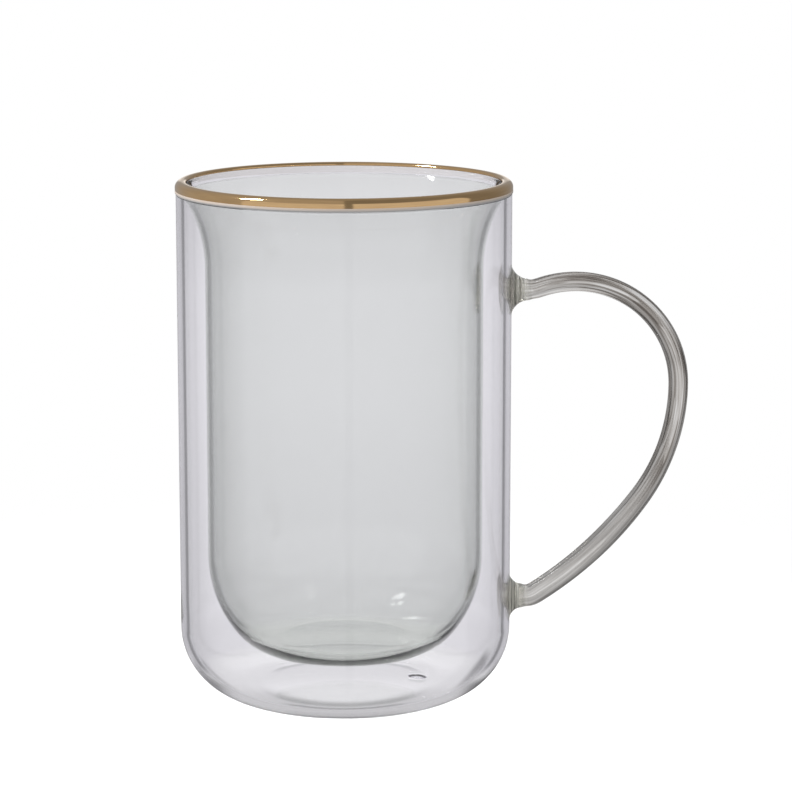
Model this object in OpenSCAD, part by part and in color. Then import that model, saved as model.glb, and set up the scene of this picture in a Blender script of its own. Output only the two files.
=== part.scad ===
// Double walled glass mug. A clear outer jacket and a grey tinted liner are fused
// at the lip, a gold band is fired on the lip, and a bent glass rod is melted on
// to the side as a handle. Millimetres, +Z up. The origin is on the mug's axis,
// in the plane of the ring that it stands on, and the handle points along +X.

/* [Jacket] */
// Outside diameter of the clear jacket
jacket_d = 85; // [76:0.5:96]
// Height from the table to the top of the glass lip
height = 133; // [122:0.5:150]
// Thickness of the jacket's wall
jacket_t = 2; // [1.4:0.1:2.6]
// Thickness of the jacket's base
base_t = 2; // [1.4:0.1:3.2]
// Outside radius of the jacket's rounded bottom edge
jacket_corner_r = 18; // [12:0.5:19]
// Diameter of the pushed-up middle of the base, inside the standing ring
push_up_d = 44; // [32:0.5:46]
// Rise of the pushed-up middle above the table
push_up_h = 1; // [0.4:0.1:1.8]

/* [Lip] */
// Thickness of the glass at the rounded top of the lip
lip_t = 2.6; // [2.2:0.1:3]
// Depth of the seam with the liner below the top of the lip
lip_h = 3.4; // [3:0.1:5]

/* [Liner] */
// Outside diameter of the liner's straight part
liner_d = 70.6; // [62:0.2:74]
// Thickness of the liner's wall
liner_t = 1.6; // [1.2:0.1:2.2]
// Height of the flare from the straight part up to the seam
flare_h = 18.8; // [14:0.2:26]
// Air space between the middle of the base and the liner's bottom
floor_gap = 8.2; // [5:0.1:14]
// Height of the liner's rounded bottom
liner_round_h = 26; // [20:0.5:30]
// Radius of the upper, slower curve of the liner's bottom
liner_side_r = 33; // [31:0.5:44]
// Radius of the lower, tighter curve of the liner's bottom
liner_corner_r = 15; // [10:0.5:17]

/* [Gold band] */
// Height of the band on the outside of the lip
band_h = 2.2; // [1.6:0.1:3.2]
// How far the band reaches down on the inside of the lip
band_inside_h = 0.7; // [0.5:0.1:1.2]
// Thickness of the fired gold
band_t = 0.2; // [0.12:0.01:0.4]

/* [Handle] */
// Diameter of the glass rod
rod_d = 5.2; // [4:0.1:6]
// Distance from the jacket to the outermost point of the rod's centre line
handle_reach = 42.9; // [36:0.1:52]
// Height of the upper weld's axis
upper_weld_z = 104.9; // [98:0.1:112]
// Height of the lower weld's axis
lower_weld_z = 24.8; // [20:0.1:32]
// Slope at which the rod climbs away from the upper weld
rise_angle = 19; // [10:1:28]
// Centre-line radius of the bend over the top
top_r = 26.6; // [20:0.1:30]
// Centre-line radius of the bend that the hand closes on
grip_r = 50.5; // [44:0.1:60]
// Centre-line radius of the long sweep back to the wall
sweep_r = 97.5; // [76:0.5:150]
// Centre-line radius of the short bend beside the upper weld
upper_heel_r = 9.6; // [6:0.1:12]
// Centre-line radius of the tight bend beside the lower weld
lower_heel_r = 4.6; // [4:0.1:9]

/* [Welds] */
// Distance from the jacket to the rod at each weld
weld_l = 4; // [3.6:0.1:6]
// Diameter of the upper weld's foot on the jacket
upper_weld_d = 12.8; // [9:0.1:13]
// Diameter of the lower weld's foot on the jacket
lower_weld_d = 11.6; // [9:0.1:13]
// How much wider than the rod the neck of a weld is
neck_swell = 0.6; // [0.2:0.1:1.2]

/* [Vent] */
// Diameter of the vent hole in the base
vent_d = 3; // [2:0.1:4]
// Diameter of the melted glass drop that seals the vent
seal_d = 6.2; // [4.6:0.1:7]
// Height of the drop above the base
seal_h = 1.3; // [0.8:0.1:2]
// Distance of the vent from the edge of the pushed-up middle
vent_inset = 3.6; // [2.8:0.1:12]
// Direction of the vent, turned from the handle
vent_angle = 4; // [0:1:360]

/* [Fit] */
// Clearance left at each fused seam
seam_gap = 0.02; // [0.01:0.01:0.05]

/* [Hidden] */
$fn = 96;

clear_glass = [0.86, 0.86, 0.88, 0.45];
grey_glass = [0.62, 0.65, 0.64, 0.7];
gold = [0.83, 0.66, 0.34];

// Cuts run past the faces that they open by this much
over = 1;
// Bends of the rod are this much fuller where they meet
join_swell = 0.04;

jacket_r = jacket_d / 2;
cavity_r = jacket_r - jacket_t;
lip_r = lip_t / 2;
lip_x = jacket_r - lip_r;
lip_z = height - lip_r;
seam_z = height - lip_h;

// The underside of the base is a shallow cap of a large sphere
push_up_r = push_up_d / 2;
dome_r = (push_up_r * push_up_r + push_up_h * push_up_h) / (2 * push_up_h);
dome_z = push_up_h - dome_r;
vent_r = push_up_r - vent_inset;

liner_r = liner_d / 2;
liner_bottom_z = push_up_h + base_t + floor_gap;
flare_z = seam_z - flare_h;
flare_out = cavity_r - seam_gap - liner_r;
flare_r = (flare_out * flare_out + flare_h * flare_h) / (2 * flare_out);
flare_c = [liner_r + flare_r, flare_z];
flare_angle = asin(flare_h / flare_r);
// Inner edge of the seam, which crosses the liner's wall squarely
seam_in = flare_c + (flare_r + liner_t) * [-cos(flare_angle), sin(flare_angle)];

// Places along the rod's centre line, in the plane of the handle
neck_x = jacket_r + weld_l;
reach_x = jacket_r + handle_reach;
top_x = reach_x - top_r;
shoulder_r = (top_x - neck_x) / sin(rise_angle) - upper_heel_r;
top_z = upper_weld_z + (top_x - neck_x) * tan(rise_angle / 2);
top_c = [top_x, top_z - top_r];
grip_c = [reach_x - grip_r, top_z - top_r];
heel_c = [neck_x, lower_weld_z + lower_heel_r];
sweep_c = inner_tangent_centre(grip_c, grip_r, heel_c, lower_heel_r, sweep_r);
grip_end = direction(sweep_c, grip_c);
sweep_end = direction(sweep_c, heel_c);

// Angle of the line from one point to another
function direction(from, to) = atan2(to.y - from.y, to.x - from.x);

// Centre of the circle of radius r that wraps round two smaller circles and
// touches both from outside, on the side of the mug
function inner_tangent_centre(c1, r1, c2, r2, r) =
    let (
        gap = norm(c2 - c1),
        along = (c2 - c1) / gap,
        across = [along.y, -along.x],
        d1 = r - r1,
        d2 = r - r2,
        foot = (d1 * d1 - d2 * d2 + gap * gap) / (2 * gap)
    )
    c1 + along * foot + across * sqrt(d1 * d1 - foot * foot);

// Half section of a cup that fills out to radius r, with a flat bottom at z and a
// bottom edge rounded by a slow arc above a tight one, up to the given top
module rounded_cup_section(r, z, round_h, side_r, corner_r, top) {
    split = asin((round_h - corner_r) / (side_r - corner_r));
    side_c = [r - side_r, z + round_h];
    corner_c = side_c + (side_r - corner_r) * [cos(split), -sin(split)];
    split_z = side_c.y - side_r * sin(split);
    translate([0, side_c.y])
        square([r, top - side_c.y]);
    intersection() {
        translate(side_c)
            circle(r = side_r);
        translate([0, split_z])
            square([r, side_c.y - split_z]);
    }
    intersection() {
        translate(corner_c)
            circle(r = corner_r);
        translate([corner_c.x, z])
            square([corner_r, split_z - z]);
    }
    translate([0, z])
        square([corner_c.x, split_z - z]);
}

// Half section of a plain round cornered solid of radius r, from z up to top
module round_cornered_section(r, z, corner_r, top) {
    translate([0, z + corner_r])
        square([r, top - z - corner_r]);
    translate([0, z])
        square([r - corner_r, corner_r]);
    intersection() {
        translate([r - corner_r, z + corner_r])
            circle(r = corner_r);
        translate([r - corner_r, z])
            square([corner_r, corner_r]);
    }
}

// Half section of the large sphere that the middle of the base follows, grown by t
module dome_section(t) {
    intersection() {
        translate([0, dome_z])
            circle(r = dome_r + t, $fn = 720);
        translate([0, -over])
            square([jacket_r, base_t + push_up_h + 2 * over]);
    }
}

// Half section of the lip above the seam, grown outwards by t
module lip_section(t) {
    translate([lip_x, lip_z])
        circle(r = lip_r + t);
    translate([cavity_r, seam_z])
        square([jacket_t + t, lip_z - seam_z]);
    polygon([seam_in, [cavity_r, seam_z], [cavity_r, lip_z], [lip_x - lip_r - t, lip_z]]);
}

// Half section of the air space between the jacket and the seam
module cavity_section() {
    difference() {
        round_cornered_section(cavity_r, base_t, jacket_corner_r - jacket_t, seam_z);
        dome_section(base_t);
    }
}

// Clear jacket: foot ring, pushed-up base with its vent hole, wall and rolled lip
module outer_wall() {
    color(clear_glass)
    difference() {
        rotate_extrude()
        difference() {
            union() {
                round_cornered_section(jacket_r, 0, jacket_corner_r, seam_z);
                lip_section(0);
            }
            cavity_section();
            dome_section(0);
        }
        vent_place()
            cylinder(d = vent_d, h = base_t + push_up_h + over);
    }
}

// Tinted liner: rounded bottom, straight wall and flare up to the seam
module inner_cup() {
    // The flare is cut squarely across, a seam's clearance short of the lip
    cut_angle = flare_angle - seam_gap / flare_r * 180 / PI;
    top = seam_in.y + over;
    color(grey_glass)
    rotate_extrude()
    difference() {
        union() {
            rounded_cup_section(liner_r, liner_bottom_z, liner_round_h,
                                liner_side_r, liner_corner_r, flare_z);
            intersection() {
                flare_section(liner_r, flare_r, top);
                polygon([flare_c, [0, flare_z + flare_c.x * tan(cut_angle)], [0, flare_z]]);
            }
        }
        rounded_cup_section(liner_r - liner_t, liner_bottom_z + liner_t, liner_round_h - liner_t,
                            liner_side_r - liner_t, liner_corner_r - liner_t, flare_z);
        flare_section(liner_r - liner_t, flare_r + liner_t, top + over);
    }
}

// Half section that widens from radius r at the flare's start, along an arc
module flare_section(r, arc_r, top) {
    difference() {
        translate([0, flare_z])
            square([r + arc_r, top - flare_z]);
        translate([r + arc_r, flare_z])
            circle(r = arc_r, $fn = 360);
    }
}

// Fired gold over the rounded top of the lip and down its outside
module gold_band() {
    color(gold)
    rotate_extrude()
    intersection() {
        difference() {
            lip_section(band_t);
            lip_section(0);
        }
        union() {
            translate([lip_x, height - band_h])
                square([lip_t, band_h + over]);
            translate([lip_x - lip_t, height - band_inside_h])
                square([lip_t, band_inside_h + over]);
        }
    }
}

// One bend of the rod about a centre in the plane of the handle, between two angles
module rod_bend(centre, r, from, to) {
    translate([centre.x, 0, centre.y])
        rotate([90, 0, 0])
            rotate([0, 0, min(from, to)])
                rotate_extrude(angle = abs(to - from))
                    translate([r, 0])
                        circle(d = rod_d);
}

// Bent glass rod from the upper weld's neck to the lower weld's neck
module handle_rod() {
    bends = [
        [[neck_x, upper_weld_z + upper_heel_r], upper_heel_r, -90, rise_angle - 90],
        [[top_x, top_z - shoulder_r], shoulder_r, 90 + rise_angle, 90],
        [top_c, top_r, 90, 0],
        [grip_c, grip_r, 0, grip_end],
        [sweep_c, sweep_r, grip_end, sweep_end],
        [heel_c, lower_heel_r, sweep_end, -90]
    ];
    color(clear_glass) {
        for (b = bends)
            rod_bend(b[0], b[1], b[2], b[3]);
        // A ball a hair fuller than the rod fuses each bend with the next
        for (i = [1 : len(bends) - 1])
            let (b = bends[i], place = b[0] + b[1] * [cos(b[2]), sin(b[2])])
                translate([place.x, 0, place.y])
                    sphere(d = rod_d + join_swell);
    }
}

// Trumpet of melted glass between the rod's end and the jacket's curved wall
module weld(z, foot_d) {
    foot_r = foot_d / 2;
    neck_r = (rod_d + neck_swell) / 2;
    fillet_r = min(foot_r - neck_r, weld_l);
    // How far the round wall falls away under the edge of the foot
    bite = jacket_r - sqrt(jacket_r * jacket_r - foot_r * foot_r) + over;
    color(clear_glass)
    difference() {
        translate([jacket_r, 0, z])
            rotate([0, 90, 0])
                rotate_extrude() {
                    translate([0, -bite])
                        square([neck_r, bite + weld_l - seam_gap]);
                    difference() {
                        translate([0, -bite])
                            square([neck_r + fillet_r, bite + fillet_r]);
                        translate([neck_r + fillet_r, fillet_r])
                            circle(r = fillet_r);
                    }
                }
        translate([0, 0, z - foot_r - over])
            cylinder(r = jacket_r + seam_gap, h = foot_d + 2 * over, $fn = 360);
    }
}

module upper_weld() {
    weld(upper_weld_z, upper_weld_d);
}

module lower_weld() {
    weld(lower_weld_z, lower_weld_d);
}

// Moves its children to the vent's axis in the base
module vent_place() {
    rotate([0, 0, vent_angle])
        translate([vent_r, 0, 0])
            children();
}

// Drop of melted glass that closes the vent from the inside
module vent_seal() {
    base_z = dome_z + sqrt(dome_r * dome_r - vent_r * vent_r);
    floor_z = dome_z + sqrt(pow(dome_r + base_t, 2) - vent_r * vent_r);
    seal_r = seal_d / 2;
    drop_r = (seal_r * seal_r + seal_h * seal_h) / (2 * seal_h);
    // Depth by which the drop follows the sloping floor under its edge
    slope_h = seal_r * vent_r / dome_r + seam_gap;
    color(clear_glass) {
        difference() {
            vent_place()
                rotate_extrude() {
                    intersection() {
                        translate([0, floor_z + seal_h - drop_r])
                            circle(r = drop_r);
                        translate([0, floor_z])
                            square([seal_r, seal_h]);
                    }
                    translate([0, floor_z - slope_h])
                        square([seal_r, slope_h]);
                }
            translate([0, 0, dome_z])
                sphere(r = dome_r + base_t + seam_gap, $fn = 720);
        }
        vent_place()
            translate([0, 0, base_z + base_t / 2])
                cylinder(d = vent_d - 2 * seam_gap, h = floor_z - base_z - base_t / 2 + seal_h / 2);
    }
}

outer_wall();
inner_cup();
gold_band();
handle_rod();
upper_weld();
lower_weld();
vent_seal();
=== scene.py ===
"""Double walled glass mug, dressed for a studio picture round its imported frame.

A clear jacket and a grey liner meet at a lip with a fired gold band, and a bent
glass rod is melted on to the side as a handle. Each piece has its own operator.
"""

import math
from functools import partial

import bmesh
import bpy
from mathutils import Matrix, Vector


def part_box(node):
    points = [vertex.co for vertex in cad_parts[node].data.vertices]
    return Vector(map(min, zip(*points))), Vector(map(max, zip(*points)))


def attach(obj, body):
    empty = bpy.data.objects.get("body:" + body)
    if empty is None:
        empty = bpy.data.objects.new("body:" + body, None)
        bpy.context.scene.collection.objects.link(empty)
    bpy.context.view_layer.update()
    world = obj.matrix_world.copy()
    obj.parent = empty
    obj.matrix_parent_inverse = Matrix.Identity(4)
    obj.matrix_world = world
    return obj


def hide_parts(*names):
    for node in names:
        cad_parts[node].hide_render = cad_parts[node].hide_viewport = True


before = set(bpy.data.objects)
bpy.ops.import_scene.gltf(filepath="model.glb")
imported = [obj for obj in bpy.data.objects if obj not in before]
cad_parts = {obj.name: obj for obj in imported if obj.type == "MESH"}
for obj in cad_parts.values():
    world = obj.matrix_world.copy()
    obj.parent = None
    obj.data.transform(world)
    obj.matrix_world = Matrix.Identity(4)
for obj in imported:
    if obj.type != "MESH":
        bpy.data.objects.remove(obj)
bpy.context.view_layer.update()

bl_info = {
    "name": "Double Walled Glass Mug",
    "version": (1, 0, 0),
    "blender": (4, 5, 0),
    "location": "3D View > Sidebar > Glass Mug",
    "description": "Builds a double walled glass mug with a gold lip and a rod handle",
    "category": "Mesh",
}

MM = 0.001
DEGREE = math.radians(1)
BODY = "root"
# Points of a revolved wall closer than this are one point
MERGE = 1e-6
# Edges that turn by more than this stay crisp
CREASE = 32 * DEGREE
# Refraction of borosilicate glass
GLASS_IOR = 1.473
WHITE = (1.0, 1.0, 1.0, 1.0)

# How the trumpet of a weld opens: 2 is a quarter of a circle, and less is straighter
TRUMPET = 1.7
# Length over which the neck of a weld narrows to the rod
NECK_EASE = 1.4 * MM
# The rod thickens on its way down between these shares of the height between its welds
SWELL_FROM, SWELL_TO = 0.5, 0.16
# How far the ends of the rod's path run into the wall
ROOT_DEPTH = 1.2 * MM
# Faces round the small drop that seals the vent
SEAL_SEGMENTS = 64

# Kinds of node that are used often. A ramp takes a value, the two ends of its range and
# what they become. Inputs 2 and 3 of a mix are its numbers, and 6 and 7 its colours.
MATH = "ShaderNodeMath"
RAMP = "ShaderNodeMapRange"
MIX = "ShaderNodeMix"
NOISE = "ShaderNodeTexNoise"
SHADER = "ShaderNodeBsdfPrincipled"
SMOOTH = {"interpolation_type": "SMOOTHSTEP"}
COLOURS = {"data_type": "RGBA"}


def linear(hex_colour):
    """Linear RGBA of an sRGB hex colour."""
    values = [int(hex_colour[i:i + 2], 16) / 255 for i in (1, 3, 5)]
    return [v / 12.92 if v <= 0.04045 else ((v + 0.055) / 1.055) ** 2.4 for v in values] + [1.0]


def packed_mm(node, axis, share):
    """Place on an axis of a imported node's box, from 0 at its low side to 1 at its high one."""
    low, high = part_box(node)
    return round((low[axis] + share * (high[axis] - low[axis])) / MM, 2)


def size_property(name, description, millimetres):
    """A length that a user can change, given in millimetres."""
    return bpy.props.FloatProperty(
        name=name, description=description, default=millimetres * MM,
        min=0.0, precision=5, unit="LENGTH", subtype="DISTANCE")


def angle_property(name, description, degrees):
    """An angle that a user can change, given in degrees."""
    return bpy.props.FloatProperty(
        name=name, description=description, default=degrees * DEGREE, unit="ROTATION", subtype="ANGLE")


def amount_property(name, description, amount):
    """A strength or brightness that a user can change."""
    return bpy.props.FloatProperty(name=name, description=description, default=amount, min=0.0)


def count_property(name, description, count):
    """A number of faces or ridges that a user can change."""
    return bpy.props.IntProperty(name=name, description=description, default=count, min=0)


def colour_property(name, description, hex_colour):
    """A colour that a user can change, given as sRGB hex."""
    return bpy.props.FloatVectorProperty(
        name=name, description=description, default=linear(hex_colour),
        size=4, min=0.0, max=1.0, subtype="COLOR")


class MugWallSizes(bpy.types.PropertyGroup):
    """Sizes of the two walls and of the gold band"""
    jacket_d: size_property("Jacket Diameter", "Outside diameter of the clear jacket",
                            2 * packed_mm("outer_wall", 0, 1))
    height: size_property("Height", "Height from the table to the top of the lip",
                          packed_mm("outer_wall", 2, 1))
    jacket_t: size_property("Jacket Wall", "Thickness of the jacket's wall", 2)
    base_t: size_property("Base", "Thickness of the jacket's base", 2)
    jacket_corner_r: size_property("Jacket Corner", "Outside radius of the bottom edge", 18)
    push_up_d: size_property("Push-up Diameter", "Diameter of the pushed-up middle of the base", 44)
    push_up_h: size_property("Push-up Rise", "Rise of the pushed-up middle above the table", 1)
    lip_t: size_property("Lip", "Thickness of the glass at the rounded top of the lip", 2.6)
    lip_out_r: size_property("Lip Outside", "Radius of the lip's outer edge", 1.5)
    lip_in_r: size_property("Lip Inside", "Radius of the lip's inner edge", 0.7)
    lip_h: size_property("Seam Depth", "Depth of the seam with the liner below the lip's top", 3.4)
    liner_d: size_property("Liner Diameter", "Outside diameter of the liner's straight part", 70.6)
    liner_t: size_property("Liner Wall", "Thickness of the liner's wall", 1.6)
    flare_h: size_property("Flare", "Height of the liner's flare below the seam", 18.8)
    floor_gap: size_property("Floor Gap", "Air space between the base and the liner's bottom", 8.2)
    liner_round_h: size_property("Round Height", "Height of the liner's rounded bottom", 26)
    liner_side_r: size_property("Side Curve", "Upper, slower curve of the liner's bottom", 33)
    liner_corner_r: size_property("Corner Curve", "Lower, tighter curve of the liner's bottom", 15)
    liner_sag: size_property("Liner Sag", "How much thicker than its wall the liner's bottom is", 1)
    band_h: size_property("Band Height", "Height of the gold on the outside of the lip", 2.05)
    band_fade: size_property("Band Fade", "Height of the thin, pale edge below the gold", 1)
    band_t: size_property("Band Thickness", "Thickness of the fired gold", 0.2)
    band_edge: size_property("Band Edge", "Width over which the gold thins to its edges", 0.45)
    seam_lap: size_property("Seam Lap", "Overlap of the glass at each fused seam", 0.04)
    seal_d: size_property("Seal Diameter", "Diameter of the drop that seals the vent", 6.2)
    seal_h: size_property("Seal Height", "Height of the drop above the base", 0.3)
    vent_inset: size_property("Vent Inset", "Distance of the vent from the push-up's edge", 3.6)
    vent_angle: angle_property("Vent Direction", "Direction of the vent, turned from the handle", 4)
    segments: count_property("Segments", "Faces round each revolved wall", 288)


class MugHandleSizes(bpy.types.PropertyGroup):
    """Sizes of the bent rod and of its welds"""
    rod_d: size_property("Rod Diameter", "Diameter of the glass rod over its upper half", 5)
    low_swell: size_property("Low Swell", "How much thicker the rod is along its lower sweep", 0.75)
    reach: size_property("Reach", "Distance from the jacket to the rod's outermost centre line", 42.9)
    upper_weld_z: size_property("Upper Weld Height", "Height of the upper weld's axis",
                                packed_mm("upper_weld", 2, 0.5))
    lower_weld_z: size_property("Lower Weld Height", "Height of the lower weld's axis",
                                packed_mm("lower_weld", 2, 0.5))
    rise_angle: angle_property("Rise", "Slope at which the rod climbs away from the upper weld", 19)
    top_r: size_property("Top Bend", "Centre-line radius of the bend over the top", 26.6)
    grip_r: size_property("Grip Bend", "Centre-line radius of the bend that the hand closes on", 50.5)
    sweep_r: size_property("Sweep", "Centre-line radius of the long sweep back to the wall", 97.5)
    upper_heel_r: size_property("Upper Heel", "Centre-line radius of the bend at the upper weld", 9.6)
    lower_heel_r: size_property("Lower Heel", "Centre-line radius of the bend at the lower weld", 4.6)
    weld_l: size_property("Weld Length", "Distance from the jacket to the rod at each weld", 4)
    upper_weld_d: size_property("Upper Foot", "Diameter of the upper weld's foot", 12.8)
    lower_weld_d: size_property("Lower Foot", "Diameter of the lower weld's foot", 11.6)
    neck_swell: size_property("Neck Swell", "How much wider than the rod the neck of a weld is", 0.6)
    upper_skirt_l: size_property("Upper Skirt", "Distance from the jacket to the upper weld's neck", 3.8)
    lower_skirt_l: size_property("Lower Skirt", "Distance from the jacket to the lower weld's neck", 2.6)
    ridge: size_property("Draw Ridges", "Height of the faint ridges along the drawn rod", 0.045)
    ridges: count_property("Ridge Count", "Faint ridges round the drawn rod", 7)
    sides: count_property("Sides", "Faces round the rod", 96)
    step: size_property("Step", "Spacing of the rings along the rod", 1)


class MugFinishes(bpy.types.PropertyGroup):
    """Colours of the glass and of the gold"""
    clear_tint: colour_property("Clear Glass", "What thick clear glass lets through", "#C7C0D8")
    clear_depth: amount_property("Clear Depth", "Strength of the clear glass's tint per metre", 42.0)
    rod_tint: colour_property("Rod Glass", "What a thick piece of the rod's glass lets through", "#CBC9C2")
    rod_plain: colour_property("Rod Surface", "What most of the drawn rod's surface lets through", "#C9C5C1")
    # The darker cords are partly painted shade, standing in for the dark lines that the rod shows by
    # refraction
    rod_cord_and_shade: colour_property("Rod Cords", "What the darker cords in the drawn rod let through", "#746D67")
    rod_weld: colour_property("Rod Welds", "Colour of the cloudy glass at the welds", "#E4E3D8")
    rod_depth: amount_property("Rod Depth", "Strength of the rod's tint per metre", 150.0)
    grey_tint: colour_property("Grey Glass", "What a thick piece of the grey glass lets through", "#C1CBBD")
    grey_depth: amount_property("Grey Depth", "Strength of the grey glass's tint per metre", 108.0)
    gold: colour_property("Gold", "Colour of the fired gold", "#EDC894")
    gold_shade: colour_property("Gold Shade", "Colour of the thinner places in the gold", "#D2AD80")
    edge_warm: colour_property("Edge Upper", "Colour of the gold's thin edge next to the gold", "#DDD0C7")
    edge_grey: colour_property("Edge Lower", "Colour of the gold's thin edge lower down", "#AEAEAF")
    film_back: colour_property("Film Back", "Colour of the gold film's back against the glass", "#FAF9F8")


class MugStudio(bpy.types.PropertyGroup):
    """Backdrop, lamps and camera"""
    side_level: amount_property("Side Level", "Brightness of the studio's sides", 0.3)
    front_level: amount_property("Front Level", "Brightness of the wall behind the camera", 0.7)
    through_level: amount_property("Backdrop Level", "Brightness of the backdrop through the glass", 0.97)
    floor_r: size_property("Floor Radius", "Radius of the floor", 350)
    camera_place: bpy.props.FloatVectorProperty(
        name="Camera", description="Place of the camera", default=(0.0, -0.7742, 0.2213),
        subtype="TRANSLATION", unit="LENGTH")
    camera_pitch: angle_property("Pitch", "How far the camera looks down", 10.52)
    camera_yaw: angle_property("Yaw", "How far the camera looks towards the handle", 0.97)
    lens: bpy.props.FloatProperty(
        name="Lens", description="Focal length on a 36 mm sensor", default=139.95, min=1.0, unit="CAMERA")


class MugSettings(bpy.types.PropertyGroup):
    """All settings of the mug"""
    walls: bpy.props.PointerProperty(type=MugWallSizes)
    handle: bpy.props.PointerProperty(type=MugHandleSizes)
    finishes: bpy.props.PointerProperty(type=MugFinishes)
    studio: bpy.props.PointerProperty(type=MugStudio)


def add_node(tree, kind, inputs=(), **settings):
    """Adds a node with its settings, and its inputs in order or by name or number.

    An input is a value, a socket, or another node, whose first output is taken.
    """
    node = tree.nodes.new(kind)
    for name, value in settings.items():
        setattr(node, name, value)
    for key, value in inputs.items() if isinstance(inputs, dict) else enumerate(inputs):
        if isinstance(value, bpy.types.Node):
            value = next(socket for socket in value.outputs if socket.enabled)
        if isinstance(value, bpy.types.NodeSocket):
            tree.links.new(value, node.inputs[key])
        else:
            node.inputs[key].default_value = value
    return node


def arc(centre, radius, start, end, steps):
    """Points along an arc, angles in degrees."""
    angles = [math.radians(start + (end - start) * i / steps) for i in range(steps + 1)]
    return [(centre[0] + radius * math.cos(a), centre[1] + radius * math.sin(a)) for a in angles]


def line(start, end, steps):
    """Points along a straight line."""
    return [(start[0] + (end[0] - start[0]) * i / steps, start[1] + (end[1] - start[1]) * i / steps)
            for i in range(steps + 1)]


def joined(*stretches):
    """One run of points from several, without the points that they share."""
    points = []
    for stretch in stretches:
        for p in stretch:
            if not points or math.dist(points[-1], p) > 5 * MERGE:
                points.append(p)
    return points


def eased(value, low, high):
    """Smooth step from 0 at low to 1 at high."""
    share = min(max((value - low) / (high - low), 0), 1)
    return share * share * (3 - 2 * share)


def dome_radius(walls):
    """Radius of the large sphere that the pushed-up base follows."""
    edge = walls.push_up_d / 2
    return (edge * edge + walls.push_up_h ** 2) / (2 * walls.push_up_h)


def dome_z(walls, r, grown):
    """Height of the pushed-up base at radius r, on the sphere grown by a thickness."""
    sphere = dome_radius(walls)
    return walls.push_up_h - sphere + math.sqrt((sphere + grown) ** 2 - r * r)


def dome_face(walls, grown, steps=16):
    """The pushed-up face of the base on the grown sphere, from its middle to its flat part."""
    sphere = dome_radius(walls)
    edge = math.sqrt((sphere + grown) ** 2 - (sphere - walls.push_up_h + grown) ** 2)
    radii = [edge * i / steps for i in range(steps + 1)]
    return [(r, dome_z(walls, r, grown)) for r in radii]


def flare(walls):
    """Centre and radius of the flare's outer arc, and the angle through which it turns."""
    out = walls.jacket_d / 2 - walls.jacket_t - walls.liner_d / 2
    radius = (out * out + walls.flare_h ** 2) / (2 * out)
    centre = (walls.liner_d / 2 + radius, walls.height - walls.lip_h - walls.flare_h)
    return centre, radius, math.asin(walls.flare_h / radius)


def lip_arcs(walls):
    """The rounded top of the lip, from its outside over to its inside."""
    outer = walls.jacket_d / 2
    inner = outer - walls.lip_t
    top = walls.height
    return joined(
        arc((outer - walls.lip_out_r, top - walls.lip_out_r), walls.lip_out_r, 0, 90, 18),
        arc((inner + walls.lip_in_r, top - walls.lip_in_r), walls.lip_in_r, 90, 180, 12))


def jacket_profile(walls):
    """Half section of the clear jacket, from the table round the lip to the floor."""
    outer = walls.jacket_d / 2
    inner = outer - walls.jacket_t
    corner = walls.jacket_corner_r
    lip = lip_arcs(walls)
    seam_z = walls.height - walls.lip_h
    # The seam crosses the wall squarely, so it is higher on the inside of the mug
    centre, bend, sweep = flare(walls)
    seam = (centre[0] - (bend + walls.liner_t) * math.cos(sweep),
            centre[1] + (bend + walls.liner_t) * math.sin(sweep))
    turn = (outer - corner, corner)
    under = dome_face(walls, 0)
    over = dome_face(walls, walls.base_t)[::-1]
    return joined(
        under,
        line((under[-1][0], 0), (turn[0], 0), 2),
        arc(turn, corner, -90, 0, 30),
        line((outer, corner), lip[0], 90),
        lip,
        line(lip[-1], seam, 6),
        line(seam, (inner, seam_z), 3),
        line((inner, seam_z), (inner, corner), 12),
        arc(turn, corner - walls.jacket_t, 0, -90, 30),
        line((turn[0], walls.base_t), (over[0][0], walls.base_t), 2),
        over)


def liner_face(walls, inset):
    """One face of the liner from the middle of its bottom up to the seam."""
    r = walls.liner_d / 2
    bottom = walls.push_up_h + walls.base_t + walls.floor_gap
    centre, bend, sweep = flare(walls)
    end = 180 - math.degrees(sweep + walls.seam_lap / bend)
    reach = walls.liner_side_r - walls.liner_corner_r
    split = math.asin((walls.liner_round_h - walls.liner_corner_r) / reach)
    side = (r - walls.liner_side_r, bottom + walls.liner_round_h)
    turn = (side[0] + reach * math.cos(split), side[1] - reach * math.sin(split))
    return joined(
        line((0, bottom + inset), (turn[0], bottom + inset), 10),
        arc(turn, walls.liner_corner_r - inset, -90, -math.degrees(split), 22),
        arc(side, walls.liner_side_r - inset, -math.degrees(split), 0, 20),
        line((r - inset, side[1]), (r - inset, centre[1]), 30),
        arc(centre, bend + inset, 180, end, 20))


def liner_profile(walls):
    """Half section of the grey liner, up its outside and down its inside."""
    outside = liner_face(walls, 0)
    bottom = outside[0][1]
    inside = []
    for r, z in liner_face(walls, walls.liner_t)[::-1]:
        # Blown glass gathers in the bottom, so the inside is raised there
        low = min(max(1 - (z - bottom) / walls.liner_round_h, 0), 1)
        inside.append((r, z + walls.liner_sag * low * low))
    return joined(outside, line(outside[-1], inside[0], 2), inside)


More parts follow.
